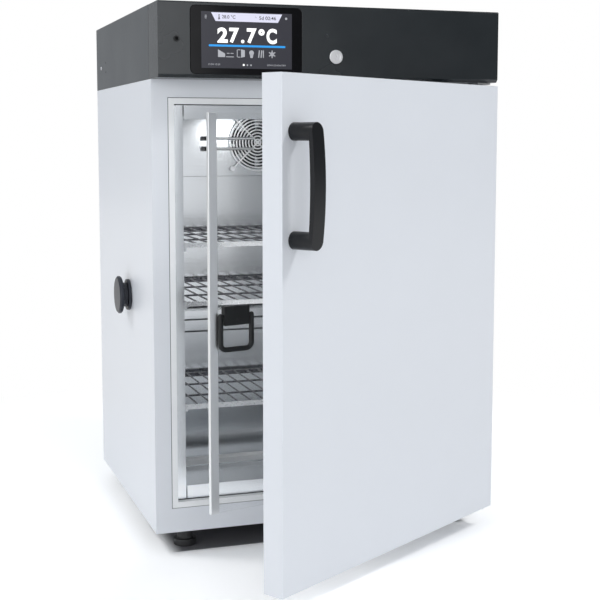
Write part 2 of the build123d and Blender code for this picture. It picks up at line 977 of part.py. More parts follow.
with BuildPart() as head_shell:
    with BuildSketch(facing(back)):
        span(-half, half, body_top, head_top)
    extrude(amount=back - shell_front)
    with BuildSketch(facing(back - shell_sheet)):
        span(-half + shell_sheet, half - shell_sheet, body_top - 1, head_top - shell_sheet)
    extrude(amount=back - shell_sheet - shell_front, mode=Mode.SUBTRACT)
    with BuildSketch(facing(back)):
        with Locations((inlet_x, inlet_z)):
            Rectangle(inlet_wide, inlet_high)
        with Locations((vent_x, inlet_z)):
            with GridLocations(vent_pitch, 1, vents, 1):
                SlotOverall(vent_length, vent_width, rotation=90)
    extrude(amount=shell_sheet, mode=Mode.SUBTRACT)
    with BuildSketch(sideways(-half)):
        with Locations([(back - side_hole_behind, body_top + z) for z in side_hole_heights]):
            Circle(side_hole_radius)
    extrude(amount=shell_sheet, mode=Mode.SUBTRACT)

with BuildPart() as head_screws:
    for x, out in ((-half, -1.6), (half, 1.6)):
        with BuildSketch(sideways(x)):
            with Locations((back - head_screw_behind, body_top + head_screw_height)):
                Circle(head_screw_radius)
        extrude(amount=out)

with BuildPart() as power_supply:
    with BuildSketch(level(body_top)):
        with Locations((supply_x, back - supply_behind)):
            Rectangle(supply_wide, supply_deep)
    extrude(amount=supply_high)

# Key lock: fixed housing, and the barrel with its cam

with BuildPart() as lock_housing:
    with BuildSketch(facing(fascia_front)):
        with Locations((0, lock_z)):
            Circle(lock_flange)
    extrude(amount=2.5)
    with BuildSketch(facing(fascia_front)):
        with Locations((0, lock_z)):
            Circle(lock_radius)
    extrude(amount=-(lock_length - 1))
    with BuildSketch(facing(fascia_front - 2.5)):
        with Locations((0, lock_z)):
            Circle(lock_core + running)
    extrude(amount=-(lock_length + 2), mode=Mode.SUBTRACT)

with BuildPart() as lock_barrel:
    with BuildSketch(facing(fascia_front - 2)):
        with Locations((0, lock_z)):
            Circle(lock_core)
    extrude(amount=-(lock_length + 2))
    with BuildSketch(facing(fascia_front - 2)):
        with Locations((0, lock_z)):
            Rectangle(1.6, 8)
    extrude(amount=-8, mode=Mode.SUBTRACT)
    with BuildSketch(facing(cam_y)):
        with Locations((cam_length / 2 - cam_wide / 4, lock_z)):
            SlotOverall(cam_length + cam_wide / 2, cam_wide)
        with Locations((0, lock_z)):
            Circle(lock_core)
    extrude(amount=-cam_thick)

# Mains inlet and rocker switch

rocker_z = inlet_z + 14
rocker_y = back - 3.5
rocker_half = 9.0

with BuildPart() as power_inlet:
    with BuildSketch(facing(back)):
        with Locations((inlet_x, inlet_z)):
            RectangleRounded(inlet_wide + 6, inlet_high + 6, 3)
    extrude(amount=-2.5)
    with BuildSketch(facing(back)):
        with Locations((inlet_x, inlet_z)):
            Rectangle(inlet_wide, inlet_high)
    extrude(amount=24)
    with BuildSketch(facing(back + 2.5)):
        with Locations((inlet_x, inlet_z - 11)):
            RectangleRounded(24, 17, 3)
    extrude(amount=18, mode=Mode.SUBTRACT)
    with BuildSketch(sideways(inlet_x - rocker_half - rocker_gap)):
        with Locations((rocker_y, rocker_z)):
            Circle(rocker_radius + rocker_gap)
    extrude(amount=2 * (rocker_half + rocker_gap), mode=Mode.SUBTRACT)
    with BuildSketch(facing(back - 17)):
        with Locations([(inlet_x + dx, inlet_z - 11) for dx in (-7, 0, 7)]):
            Rectangle(1.6, 5)
    extrude(amount=-12)

with BuildPart() as power_rocker:
    with BuildSketch(sideways(inlet_x - rocker_half)):
        with Locations((rocker_y, rocker_z)):
            Circle(rocker_radius)
        lean = radians(rocker_tilt)
        reach = rocker_flat + rocker_radius / 2
        with Locations((rocker_y + reach * cos(lean), rocker_z - reach * sin(lean))):
            Rectangle(rocker_radius, 2 * rocker_radius, rotation=-rocker_tilt, mode=Mode.SUBTRACT)
    extrude(amount=2 * rocker_half)

# Outer door, drawn on planes that turn with it

door_pin = (half - door_pin_edge, front - door_pin_ahead)
door_left = -(width - door_pin_edge - door_inset)
door_right = door_pin_edge
door_z0 = base_z + door_low
door_z1 = body_top - door_top_gap
door_back = door_pin_out - door_thickness
skin_back = door_back + door_liner_sheet


def door_plane(out):
    """Plane parallel to the outer door, at a distance outwards from its pin."""
    return leaf_plane(door_pin, door_angle, out)


def door_rectangle(inset, mode=Mode.ADD):
    """The door's outline, drawn in by inset on every side."""
    span(door_left + inset, door_right - inset, door_z0 + inset, door_z1 - inset, mode=mode)


lock_along = -door_pin[0]
cam_out = front - door_pin_ahead - cam_y
cam_slot_half = 9.0
cam_slot_wide = 8.0
cam_slot_deep = 12.0


def cam_slot():
    """Slot in the top of the door that the lock's cam drops into."""
    with BuildSketch(door_plane(cam_out + cam_slot_wide / 2)) as slot:
        span(lock_along - cam_slot_half, lock_along + cam_slot_half, door_z1 - cam_slot_deep, door_z1)
    extrude(slot.sketch, amount=-cam_slot_wide, mode=Mode.SUBTRACT)


def pin_bores(radius):
    """Bores for the hinge pins, in from the top and the bottom of the door."""
    for z, way in ((door_z0, 1), (door_z1, -1)):
        with BuildSketch(level(z)) as bore:
            with Locations(door_pin):
                Circle(radius)
        extrude(bore.sketch, amount=way * (pin_length + 1), mode=Mode.SUBTRACT)


with BuildPart() as door_skin:
    with BuildSketch(door_plane(door_pin_out)):
        door_rectangle(0)
    extrude(amount=-(door_pin_out - skin_back))
    outer_face = door_skin.faces().sort_by(Axis((0, 0, 0), door_plane(0).z_dir))[-1]
    fillet(outer_face.edges(), 1.1)
    with BuildSketch(door_plane(door_pin_out - sheet)):
        door_rectangle(sheet)
    extrude(amount=-(door_pin_out - 2 * sheet - skin_back), mode=Mode.SUBTRACT)
    with BuildSketch(door_plane(skin_back)):
        door_rectangle(door_return)
    extrude(amount=sheet, mode=Mode.SUBTRACT)
    pin_bores(bush_radius)
    cam_slot()

with BuildPart() as door_bushes:
    with BuildSketch(level(door_z0)):
        with Locations(door_pin):
            Circle(bush_radius)
            Circle(pin_radius + running, mode=Mode.SUBTRACT)
    extrude(amount=pin_length + 1)
    with BuildSketch(level(door_z1)):
        with Locations(door_pin):
            Circle(bush_radius)
            Circle(pin_radius + running, mode=Mode.SUBTRACT)
    extrude(amount=-(pin_length + 1))

pocket_floor = door_back + door_pocket_depth

with BuildPart() as door_liner:
    with BuildSketch(door_plane(skin_back)):
        door_rectangle(door_liner_inset)
    extrude(amount=-door_liner_sheet)
    with BuildSketch(door_plane(skin_back)):
        door_rectangle(door_pocket_inset - door_liner_sheet)
    extrude(amount=pocket_floor + door_liner_sheet - skin_back)
    with BuildSketch(door_plane(door_back)):
        door_rectangle(door_pocket_inset)
    extrude(amount=door_pocket_depth, mode=Mode.SUBTRACT)

with BuildPart() as door_foam:
    with BuildSketch(door_plane(door_pin_out - sheet)):
        door_rectangle(sheet)
    extrude(amount=-(door_pin_out - 2 * sheet - skin_back))
    with BuildSketch(door_plane(skin_back)):
        door_rectangle(door_pocket_inset - door_liner_sheet)
    extrude(amount=pocket_floor + door_liner_sheet - skin_back, mode=Mode.SUBTRACT)
    pin_bores(bush_radius)
    cam_slot()

gasket_deep = door_pin_ahead + door_back - trim_proud - gasket_gap

with BuildPart() as door_gasket:
    for inset, start, deep in (
        (0, 0, gasket_deep * 0.3),
        (2.5, gasket_deep * 0.3, gasket_deep * 0.35),
        (0, gasket_deep * 0.65, gasket_deep * 0.35),
    ):
        with BuildSketch(door_plane(door_back - start)):
            door_rectangle(gasket_inset + inset)
            door_rectangle(gasket_inset + gasket_wide - inset, Mode.SUBTRACT)
        extrude(amount=-deep)

handle_along = door_left + handle_edge
handle_z1 = door_z1 - handle_below
handle_z0 = handle_z1 - handle_centres
handle_mid = (handle_z0 + handle_z1) / 2

with BuildPart() as door_handle:
    with BuildSketch(door_plane(door_pin_out)):
        with Locations((handle_along, handle_mid)):
            SlotCenterToCenter(handle_z1 - handle_z0, 2 * handle_radius, rotation=90)
    extrude(amount=handle_front_mid)
    bow_low = handle_z0 - handle_radius
    bow_high = handle_z1 + handle_radius
    with BuildSketch(leaf_section(door_pin, door_angle, handle_along + handle_radius)):
        with BuildLine():
            ThreePointArc(
                (door_pin_out + handle_back_end, bow_low),
                (door_pin_out + handle_back_mid, handle_mid),
                (door_pin_out + handle_back_end, bow_high),
            )
            Line(
                (door_pin_out + handle_back_end, bow_high),
                (door_pin_out + handle_front_end, bow_high),
            )
            ThreePointArc(
                (door_pin_out + handle_front_end, bow_high),
                (door_pin_out + handle_front_mid, handle_mid),
                (door_pin_out + handle_front_end, bow_low),
            )
            Line(
                (door_pin_out + handle_front_end, bow_low),
                (door_pin_out + handle_back_end, bow_low),
            )
        make_face()
    extrude(amount=2 * handle_radius, mode=Mode.INTERSECT)
    with BuildSketch(door_plane(door_pin_out)):
        with Locations((handle_along, handle_z0), (handle_along, handle_z1)):
            Circle(handle_radius)
    extrude(amount=handle_back_end + 2)

# Outer hinges on the cabinet: brackets with pins

with BuildPart() as door_hinges:
    with BuildSketch(level(base_z)):
        span(
            door_pin[0] - bracket_half, door_pin[0] + bracket_half, front - bracket_forward, front + 30
        )
    extrude(amount=-bracket_sheet - 1)
    with BuildSketch(level(base_z)):
        with Locations(door_pin):
            Circle(pin_radius)
    extrude(amount=door_low + pin_length)
    with BuildSketch(level(body_top)):
        span(door_pin[0] - bracket_half, door_pin[0] + bracket_half, front - bracket_forward, front)
    extrude(amount=-bracket_sheet)
    with BuildSketch(level(body_top)):
        span(door_pin[0] - bracket_half, door_pin[0] + bracket_half, front - bracket_sheet, front)
    extrude(amount=-bracket_leg)
    with BuildSketch(level(body_top)):
        with Locations(door_pin):
            Circle(pin_radius)
    extrude(amount=-(door_top_gap + pin_length))

# Glass door, drawn on planes that turn with it

glass_pin = (half - glass_pin_side, front + glass_pin_deep)
glass_z0 = open_low + glass_low_gap
glass_z1 = open_high - glass_top_gap
profile_half = profile_thick / 2
pane_half = glass_pane_sheet / 2


def glass_plane(out):
    """Plane parallel to the glass door, at a distance outwards from its pin."""
    return leaf_plane(glass_pin, glass_angle, out)


with BuildPart() as glass_pane:
    with BuildSketch(glass_plane(-pane_half)):
        span(-glass_width + pane_seat, -pane_seat, glass_z0, glass_z1)
    extrude(amount=glass_pane_sheet)

with BuildPart() as glass_edge_profile:
    with BuildSketch(glass_plane(-profile_half)):
        span(-glass_width, -glass_width + edge_profile_wide, glass_z0, glass_z1)
    extrude(amount=profile_thick)
    fillet(glass_edge_profile.edges().filter_by(Axis.Z), 0.8)
    with BuildSketch(glass_plane(-pane_half)):
        span(-glass_width + pane_seat, 0, glass_z0, glass_z1)
    extrude(amount=glass_pane_sheet, mode=Mode.SUBTRACT)

with BuildPart() as glass_hinge_profile:
    with BuildSketch(glass_plane(-profile_half)):
        span(-hinge_profile_wide, hinge_profile_past, glass_z0, glass_z1)
    extrude(amount=profile_thick)
    fillet(glass_hinge_profile.edges().filter_by(Axis.Z), 0.8)
    with BuildSketch(glass_plane(-pane_half)):
        span(-glass_width, -pane_seat, glass_z0, glass_z1)
    extrude(amount=glass_pane_sheet, mode=Mode.SUBTRACT)
    for z, way in ((glass_z0, 1), (glass_z1, -1)):
        with BuildSketch(level(z)):
            with Locations(glass_pin):
                Circle(glass_pin_radius + running)
        extrude(amount=way * (glass_pin_length + 1), mode=Mode.SUBTRACT)

with BuildPart() as glass_hinges:
    for z, stop in ((glass_z0 - glass_pin_gap, open_low), (glass_z1 + glass_pin_gap, open_high)):
        with BuildSketch(level(z)):
            span(glass_pin[0] - 12, open_half, front + 0.5, rim_y)
        extrude(amount=stop - z)
    for z, way in ((glass_z0 - glass_pin_gap, 1), (glass_z1 + glass_pin_gap, -1)):
        with BuildSketch(level(z)):
            with Locations(glass_pin):
                Circle(glass_pin_radius)
        extrude(amount=way * (glass_pin_gap + glass_pin_length))

# Ring pull: plate on the glass, and the ring that hangs from it

pull_along = glass_width - pull_inset
pull_z = base_z + pull_height
ring_out = pane_half + ring_pivot_out
ring_arm = ring_wide / 2 - ring_bar
ring_low_z = base_z + ring_bottom + ring_bar

with BuildPart() as pull_plate:
    with BuildSketch(glass_plane(pane_half)):
        with Locations((-pull_along, pull_z)):
            RectangleRounded(pull_plate_wide, pull_plate_high, 2.5)
    extrude(amount=pull_plate_thick)
    pull_face = pull_plate.faces().sort_by(Axis((0, 0, 0), glass_plane(0).z_dir))[-1]
    fillet(pull_face.edges(), 1.2)
    with BuildSketch(glass_plane(pane_half + pull_plate_thick)):
        with Locations((-pull_along, pull_z + 9.3), (-pull_along, pull_z - 9.3)):
            Circle(3.2)
    extrude(amount=1.0)
    with BuildSketch(leaf_section(glass_pin, glass_angle, -pull_along + pull_plate_wide / 2 + 1)):
        with Locations((ring_out, pull_z)):
            Circle(ring_pin_radius + running)
    extrude(amount=pull_plate_wide / 2 + 1 - ring_pin_reach + 1, mode=Mode.SUBTRACT)
    with BuildSketch(leaf_section(glass_pin, glass_angle, -pull_along - ring_pin_reach + 1)):
        with Locations((ring_out, pull_z)):
            Circle(ring_pin_radius + running)
    extrude(amount=pull_plate_wide / 2 + 1 - ring_pin_reach + 1, mode=Mode.SUBTRACT)

with BuildPart() as ring_pull:
    ring_frame = glass_plane(ring_out)
    with BuildLine(ring_frame) as ring_line:
        FilletPolyline(
            (-pull_along - ring_arm, pull_z),
            (-pull_along - ring_arm, ring_low_z),
            (-pull_along + ring_arm, ring_low_z),
            (-pull_along + ring_arm, pull_z),
            radius=ring_corner,
        )
    arm_top = ring_frame.from_local_coords((-pull_along - ring_arm, pull_z, 0))
    with BuildSketch(Plane(origin=arm_top, x_dir=ring_frame.x_dir, z_dir=(0, 0, -1))):
        Circle(ring_bar)
    sweep()
    for side in (-1, 1):
        arm_end = ring_frame.from_local_coords((-pull_along + side * ring_arm, pull_z, 0))
        with Locations(arm_end):
            Sphere(ring_bar)
        with BuildSketch(leaf_section(glass_pin, glass_angle, -pull_along + side * ring_arm)):
            with Locations((ring_out, pull_z)):
                Circle(ring_pin_radius)
        extrude(amount=side * (ring_arm - ring_pin_reach))

pieces = {
    "left_side_panel": left_side_panel,
    "right_side_panel": right_side_panel,
    "base_plate": base_plate,
    "top_plate": top_plate,
    "rear_panel": rear_panel,
    "machine_grille": machine_grille,
    "front_frame": front_frame,
    "frame_rivets": frame_rivets,
    "opening_trim": opening_trim,
    "side_rim_strips": side_rim_strips,
    "cross_rim_strips": cross_rim_strips,
    "chamber_liner": chamber_liner,
    "insulation": insulation,
    "fan_panel": fan_panel,
    "rear_wall_panel": rear_wall_panel,
    "step_cover": step_cover,
    "fan_guard": fan_guard,
    "fan_motor": fan_motor,
    "circulation_fan": circulation_fan,
    "sensor_clip": sensor_clip,
    "sensor_tubes": sensor_tubes,
    "evaporator": evaporator,
    "heater": heater,
    "left_shelf_rack": left_shelf_rack,
    "right_shelf_rack": right_shelf_rack,
    "shelf_top": shelf_top,
    "shelf_middle": shelf_middle,
    "shelf_bottom": shelf_bottom,
    "port_sleeve": port_sleeve,
    "port_plug": port_plug,
    "feet": feet,
    "compressor": compressor,
    "condenser": condenser,
    "condenser_fan_motor": condenser_fan_motor,
    "condenser_fan": condenser_fan,
    "control_fascia": control_fascia,
    "display_glass": display_glass,
    "display_module": display_module,
    "controller_board": controller_board,
    "service_port": service_port,
    "head_shell": head_shell,
    "head_screws": head_screws,
    "power_supply": power_supply,
    "lock_housing": lock_housing,
    "lock_barrel": lock_barrel,
    "power_inlet": power_inlet,
    "power_rocker": power_rocker,
    "door_skin": door_skin,
    "door_bushes": door_bushes,
    "door_liner": door_liner,
    "door_foam": door_foam,
    "door_gasket": door_gasket,
    "door_handle": door_handle,
    "door_hinges": door_hinges,
    "glass_pane": glass_pane,
    "glass_edge_profile": glass_edge_profile,
    "glass_hinge_profile": glass_hinge_profile,
    "glass_hinges": glass_hinges,
    "pull_plate": pull_plate,
    "ring_pull": ring_pull,
}

for name, piece in pieces.items():
    piece.part.label = name
    export_step(piece.part, f"parts/{name}.step")
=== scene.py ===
# %% [markdown]
# # A cooled incubator with both doors ajar
#
# A white insulated cabinet stands on four feet. A dark control box sits on top. The outer door
# stands open, a glass door stands ajar behind it, and three wire shelves show in a polished
# steel chamber. The shapes that carry loads come from the CAD model, which is loaded first and
# isn't moved. Blender adds rounded edges, finishes, dark strips of painted shade round the trim,
# the picture on the screen and light.

import json
from math import cos, pi, radians, sin

import bmesh
import bpy
from mathutils import Matrix, Vector


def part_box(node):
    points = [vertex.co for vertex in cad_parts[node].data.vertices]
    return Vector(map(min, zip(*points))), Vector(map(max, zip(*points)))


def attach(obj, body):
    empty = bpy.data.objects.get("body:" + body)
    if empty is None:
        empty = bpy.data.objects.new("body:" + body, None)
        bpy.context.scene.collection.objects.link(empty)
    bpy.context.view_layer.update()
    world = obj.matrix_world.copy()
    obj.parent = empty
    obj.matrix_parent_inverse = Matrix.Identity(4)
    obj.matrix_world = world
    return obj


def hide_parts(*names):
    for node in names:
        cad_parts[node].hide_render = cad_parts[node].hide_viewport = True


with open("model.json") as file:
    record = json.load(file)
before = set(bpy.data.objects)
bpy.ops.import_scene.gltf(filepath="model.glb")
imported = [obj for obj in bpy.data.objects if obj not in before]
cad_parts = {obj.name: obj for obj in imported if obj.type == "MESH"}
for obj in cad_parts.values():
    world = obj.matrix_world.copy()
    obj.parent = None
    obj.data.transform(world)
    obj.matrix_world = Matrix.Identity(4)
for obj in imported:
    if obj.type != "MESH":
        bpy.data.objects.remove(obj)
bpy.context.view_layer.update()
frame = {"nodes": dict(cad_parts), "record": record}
nodes = frame["nodes"]
body_of = {}
for body, members in frame["record"]["behaviour"]["bodies"].items():
    for member in members:
        body_of[member] = body

MM = 0.001

# %% [markdown]
# ## Camera
#
# The photograph was taken from the left of the cabinet, a little above the middle of the door.
# The place, the turn and the lens below were fitted to the cabinet's own edges, so a picture
# from here lines up with the photograph. A long lens keeps the verticals almost parallel, and
# a small shift of the lens moves the picture without tilting them.

# %% Camera at the photograph's view
camera_place = Vector((-0.7218, -2.26491, 0.7009))
camera_yaw = radians(18.7163)
camera_dip = radians(6.113)
lens_mm = 74.046
lens_shift = -0.04643

camera_data = bpy.data.cameras.new("camera")
camera_data.sensor_width = 36.0
camera_data.lens = lens_mm
camera_data.shift_y = lens_shift
camera_data.clip_start = 0.05
camera_data.clip_end = 60
camera = bpy.data.objects.new("camera", camera_data)
bpy.context.scene.collection.objects.link(camera)
look = Vector((sin(camera_yaw) * cos(camera_dip), cos(camera_yaw) * cos(camera_dip), -sin(camera_dip)))
camera.location = camera_place
camera.rotation_mode = "QUATERNION"
camera.rotation_quaternion = look.to_track_quat("-Z", "Y")
bpy.context.scene.camera = camera
print("camera looks along", tuple(round(v, 3) for v in look))

# %% [markdown]
# ## Shader maths in plain Python
#
# Procedural materials are small sums on numbers that change over a surface. A class wraps a
# node's output, and its operators add Math nodes, so a finish reads like a formula.

# %% A socket that can be added, multiplied and mixed


class Value:
    """One output of a node. Operators on it add Math nodes to the same tree."""

    def __init__(self, owner, socket):
        self.owner = owner
        self.socket = socket

    def math(self, operation, other):
        return self.owner.node("ShaderNodeMath", {"operation": operation}, {0: self, 1: other})

    def __add__(self, other):
        return self.math("ADD", other)

    def __sub__(self, other):
        return self.math("SUBTRACT", other)

    def __mul__(self, other):
        return self.math("MULTIPLY", other)

    def above(self, limit):
        return self.math("GREATER_THAN", limit)

    def size(self):
        return self.math("ABSOLUTE", 0.0)

    def larger(self, other):
        return self.math("MAXIMUM", other)


class Nodes:
    """A node tree, and the one way in which nodes are added to it."""

    def __init__(self, tree):
        self.tree = tree

    def node(self, kind, settings=None, inputs=None, output=0):
        """Adds a node, sets its settings, then its sockets from numbers or Values."""
        made = self.tree.nodes.new(kind)
        for key, value in (settings or {}).items():
            setattr(made, key, value)
        for key, value in (inputs or {}).items():
            if isinstance(value, Value):
                self.tree.links.new(value.socket, made.inputs[key])
            else:
                made.inputs[key].default_value = value
        return Value(self, made.outputs[output])

    def is_ray(self, kind):
        """1 for rays of one kind, such as camera or glossy, and 0 for the rest."""
        return self.node("ShaderNodeLightPath", output="Is " + kind + " Ray")

    def either(self, factor, first, second):
        """The first shader where the factor is 0, the second where it is 1."""
        return self.node("ShaderNodeMixShader", None, {0: factor, 1: first, 2: second})

    def climb(self, value, low, high, curve="SMOOTHSTEP"):
        """Goes from 0 to 1 while a value goes from low to high."""
        ends = {"Value": value, "From Min": low, "From Max": high}
        return self.node("ShaderNodeMapRange", {"interpolation_type": curve}, ends)

    def finish_with(self, shader, output_node):
        self.tree.links.new(shader.socket, output_node.inputs["Surface"])


# The Mix node has sockets for each kind of data. These are the ones for colours.
MIX_FIRST, MIX_SECOND, MIX_RESULT = 6, 7, 2


class Finish(Nodes):
    """A new material with one Principled BSDF, and the ways to feed it."""

    def __init__(self, name, color, roughness, metallic=0.0, **fixed):
        self.data = bpy.data.materials.new(name)
        self.data.use_nodes = True
        super().__init__(self.data.node_tree)
        self.shader = self.tree.nodes["Principled BSDF"]
        self.shader.inputs["Base Color"].default_value = (*color, 1.0)
        self.shader.inputs["Roughness"].default_value = roughness
        self.shader.inputs["Metallic"].default_value = metallic
        for socket, value in fixed.items():
            self.shader.inputs[socket.replace("_", " ")].default_value = value

    def feed(self, socket, value):
        self.tree.links.new(value.socket, self.shader.inputs[socket])

    def place(self, stretch=(1.0, 1.0, 1.0)):
        """Object coordinates in metres, stretched along the axes."""
        coordinates = self.node("ShaderNodeTexCoord", output="Object")
        return self.node("ShaderNodeMapping", None, {"Vector": coordinates, "Scale": stretch})

    def noise(self, scale, detail=2.0, stretch=(1.0, 1.0, 1.0)):
        return self.node(
            "ShaderNodeTexNoise",
            None,
            {"Vector": self.place(stretch), "Scale": scale, "Detail": detail, "Roughness": 0.5},
        )

    def blend(self, factor, first, second):
        """Mixes two colours by a Value."""
        return self.node(
            "ShaderNodeMix",
            {"data_type": "RGBA"},
            {0: factor, MIX_FIRST: (*first, 1.0), MIX_SECOND: (*second, 1.0)},
            output=MIX_RESULT,
        )

    def bump(self, height, strength, distance):
        self.feed(
            "Normal",
            self.node(
                "ShaderNodeBump",
                None,
                {"Strength": strength, "Distance": distance, "Height": height},
            ),
        )


def shade(color, factor):
    """The same colour, lighter or darker."""
    return tuple(min(1.0, channel * factor) for channel in color)


# %% [markdown]
# ## Painted sheet steel
#
# The casing is powder coated. Powder flows out to a satin film with a faint orange peel, so a
# fine noise drives the bump, and a broad one moves the roughness a little.

# %% White and graphite powder coat
WHITE = (0.80, 0.825, 0.865)
GRAPHITE = (0.029, 0.036, 0.042)


def powder_coat(name, color, roughness):
    finish = Finish(name, color, roughness, Coat_Weight=0.12, Coat_Roughness=0.28)
    cloudy = finish.noise(9.0, detail=3.0)
    finish.feed("Base Color", finish.blend(cloudy, shade(color, 0.985), shade(color, 1.012)))
    finish.feed("Roughness", cloudy * 0.10 + (roughness - 0.05))
    finish.bump(finish.noise(900.0, detail=1.0), strength=0.10, distance=0.0002)
    return finish.data


white_paint = powder_coat("white powder coat", WHITE, 0.34)
graphite_paint = powder_coat("graphite powder coat", GRAPHITE, 0.36)

# %% [markdown]
# ## Moulded plastics and rubber
#
# A moulded part takes the fine spark texture of its tool. The same recipe with other numbers
# gives the fascia, the handle, the trim, the feet and the door's gasket.

# %% Plastics


def moulded(name, color, roughness, grain=1400.0, depth=0.14, **fixed):
    finish = Finish(name, color, roughness, **fixed)
    cloudy = finish.noise(14.0, detail=2.0)
    finish.feed("Base Color", finish.blend(cloudy, shade(color, 0.93), shade(color, 1.06)))
    finish.feed("Roughness", cloudy * 0.12 + (roughness - 0.06))
    finish.bump(finish.noise(grain, detail=1.0), strength=depth, distance=0.0003)
    return finish.data


graphite_plastic = moulded("graphite fascia", (0.014, 0.018, 0.021), 0.26, grain=2200.0, depth=0.06)
handle_plastic = moulded(
    "black satin grip",
    (0.011, 0.012, 0.014),
    0.33,
    grain=1700.0,
    depth=0.10,
    Specular_IOR_Level=0.26,
)
black_plastic = moulded("black plastic", (0.010, 0.011, 0.012), 0.40, Specular_IOR_Level=0.3)
trim_plastic = moulded("white trim", (0.93, 0.945, 0.96), 0.30, depth=0.05)
liner_plastic = moulded("white door liner", (0.80, 0.82, 0.84), 0.24, depth=0.04, Coat_Weight=0.2)
plug_plastic = moulded(
    "dark plug",
    (0.014, 0.017, 0.026),
    0.40,
    grain=1100.0,
    depth=0.16,
    Specular_IOR_Level=0.4,
)
gasket_rubber = moulded("gasket rubber", (0.028, 0.029, 0.031), 0.62, grain=700.0, depth=0.12)
foot_rubber = moulded("foot rubber", (0.014, 0.014, 0.015), 0.55, grain=800.0, depth=0.2)
rigid_foam = moulded("rigid foam", (0.78, 0.70, 0.47), 0.85, grain=420.0, depth=0.5)
circuit_board = moulded("circuit board", (0.010, 0.085, 0.035), 0.35, grain=600.0, depth=0.05)
compressor_paint = moulded("black enamel", (0.012, 0.012, 0.013), 0.18, grain=300.0, depth=0.03)

# %% [markdown]
# ## Metals
#
# The chamber is polished stainless sheet, so it mirrors the shelves softly. A noise that is
# stretched along the sheet gives the faint lines of the polishing belt. The fan guard and the
# sensor tubes are bright wire, the hinge parts are zinc plated, and the lock is chromed.

# %% Stainless, zinc, aluminium and chrome


def metal(name, color, roughness, scale, spread=0.08, stretch=(1.0, 1.0, 1.0)):
    finish = Finish(name, color, roughness, metallic=1.0)
    lines = finish.noise(scale, detail=3.0, stretch=stretch)
    finish.feed("Base Color", finish.blend(lines, shade(color, 0.95), shade(color, 1.04)))
    finish.feed("Roughness", lines * spread + (roughness - spread / 2))
    finish.bump(lines, strength=0.03, distance=0.0002)
    return finish.data


STEEL = (0.82, 0.84, 0.86)
polished_steel = metal("polished stainless", STEEL, 0.17, spread=0.05, scale=40.0, stretch=(0.4, 0.4, 9.0))
brushed_steel = metal("brushed stainless", STEEL, 0.30, scale=90.0, stretch=(9.0, 9.0, 0.4))
rim_steel = metal("rim stainless", STEEL, 0.24, scale=80.0, stretch=(8.0, 8.0, 0.4))
wire_steel = metal("electropolished wire", (0.86, 0.87, 0.88), 0.30, scale=200.0)
zinc = metal("zinc plate", (0.62, 0.63, 0.64), 0.34, scale=120.0)
aluminium = metal("satin aluminium", (0.78, 0.79, 0.80), 0.30, scale=120.0, stretch=(9.0, 9.0, 0.3))
chrome = metal("chrome", (0.88, 0.88, 0.90), 0.28, spread=0.03, scale=90.0)

# %% [markdown]
# ## Shelf wire
#
# The front bar of each shelf faces the light, and the round wires behind it mirror the dark side
# of the chamber, so they read almost black. That dark reflection is painted shade in the wires'
# colour. One material does both: the depth of a point on the shelf chooses between the light
# steel of the bar and the wires' painted shade.

# %% Light bar, wires with painted shade
BAR_STEEL = (0.84, 0.85, 0.86)
WIRE_PAINTED_SHADE = (0.11, 0.11, 0.12)


def shelf_steel_and_painted_shade(name, bar_back):
    """Wires coloured dark as painted shade behind a light flat bar, which ends at bar_back."""
    finish = Finish(name, WIRE_PAINTED_SHADE, 0.26, metallic=1.0)
    depth = finish.node("ShaderNodeSeparateXYZ", None, {0: finish.place()}, output="Y")
    # Behind the bar the colour turns to the wires' painted shade.
    finish.feed("Base Color", finish.blend(depth.above(bar_back), BAR_STEEL, WIRE_PAINTED_SHADE))
    finish.feed("Roughness", finish.noise(200.0) * 0.08 + 0.24)
    return finish.data


# %% [markdown]
# ## Glass and the screen's cover
#
# The inner door is a clear pane: nearly all light passes, and the sheen grows at a flat angle.
# Alpha from a Layer Weight node gives that without the dark shadow of solid glass.

# %% Glass
pane_glass = Finish("door glass", (0.42, 0.44, 0.45), 0.03, Specular_IOR_Level=0.5)
edge_on = pane_glass.node("ShaderNodeLayerWeight", None, {"Blend": 0.32}, output="Facing")
pane_glass.feed("Alpha", edge_on * 0.16 + 0.02)
smears = pane_glass.noise(7.0, detail=3.0, stretch=(1.0, 1.0, 0.6))
pane_glass.feed("Roughness", smears * 0.05 + 0.01)
pane_glass = pane_glass.data

screen_cover = Finish("screen cover glass", (0.004, 0.004, 0.005), 0.16, Specular_IOR_Level=0.12)
dust = screen_cover.noise(30.0, detail=4.0)
screen_cover.feed("Roughness", dust * 0.10 + 0.06)
screen_cover = screen_cover.data


def lit(name, color, strength):
    """A screen colour that glows a little, so it looks the same in any light."""
    finish = Finish(name, shade(color, 0.4), 0.35)
    finish.shader.inputs["Emission Color"].default_value = (*color, 1.0)
    finish.shader.inputs["Emission Strength"].default_value = strength
    grid = finish.noise(5000.0, detail=0.0)
    finish.feed("Roughness", grid * 0.06 + 0.32)
    return finish.data


screen_dark = lit("screen background", (0.0125, 0.0125, 0.021), 0.9)
screen_white = lit("screen white", (1.0, 1.0, 1.0), 0.95)
screen_bar = lit("screen bar", (0.63, 0.63, 0.76), 0.85)
screen_ink = lit("screen ink", (0.02, 0.02, 0.03), 0.5)
screen_blue = lit("screen blue", (0.008, 0.27, 0.70), 0.95)
screen_grey = lit("screen grey", (0.38, 0.39, 0.42), 0.8)

# %% [markdown]
# ## Rounding the CAD solids
#
# Real sheet and moulded edges are never razor sharp, and a thin bright line along an edge is
# what tells the eye so. Each solid that shows is copied, its triangles are joined into flat
# faces, and its sharp edges are bevelled by 0.1 to 1.5 mm. A Weighted Normal modifier keeps the
# large faces flat in the light, so only the bevels catch a highlight.

# %% Helper: a finished copy of a CAD node
SMOOTH_BELOW = radians(40.0)


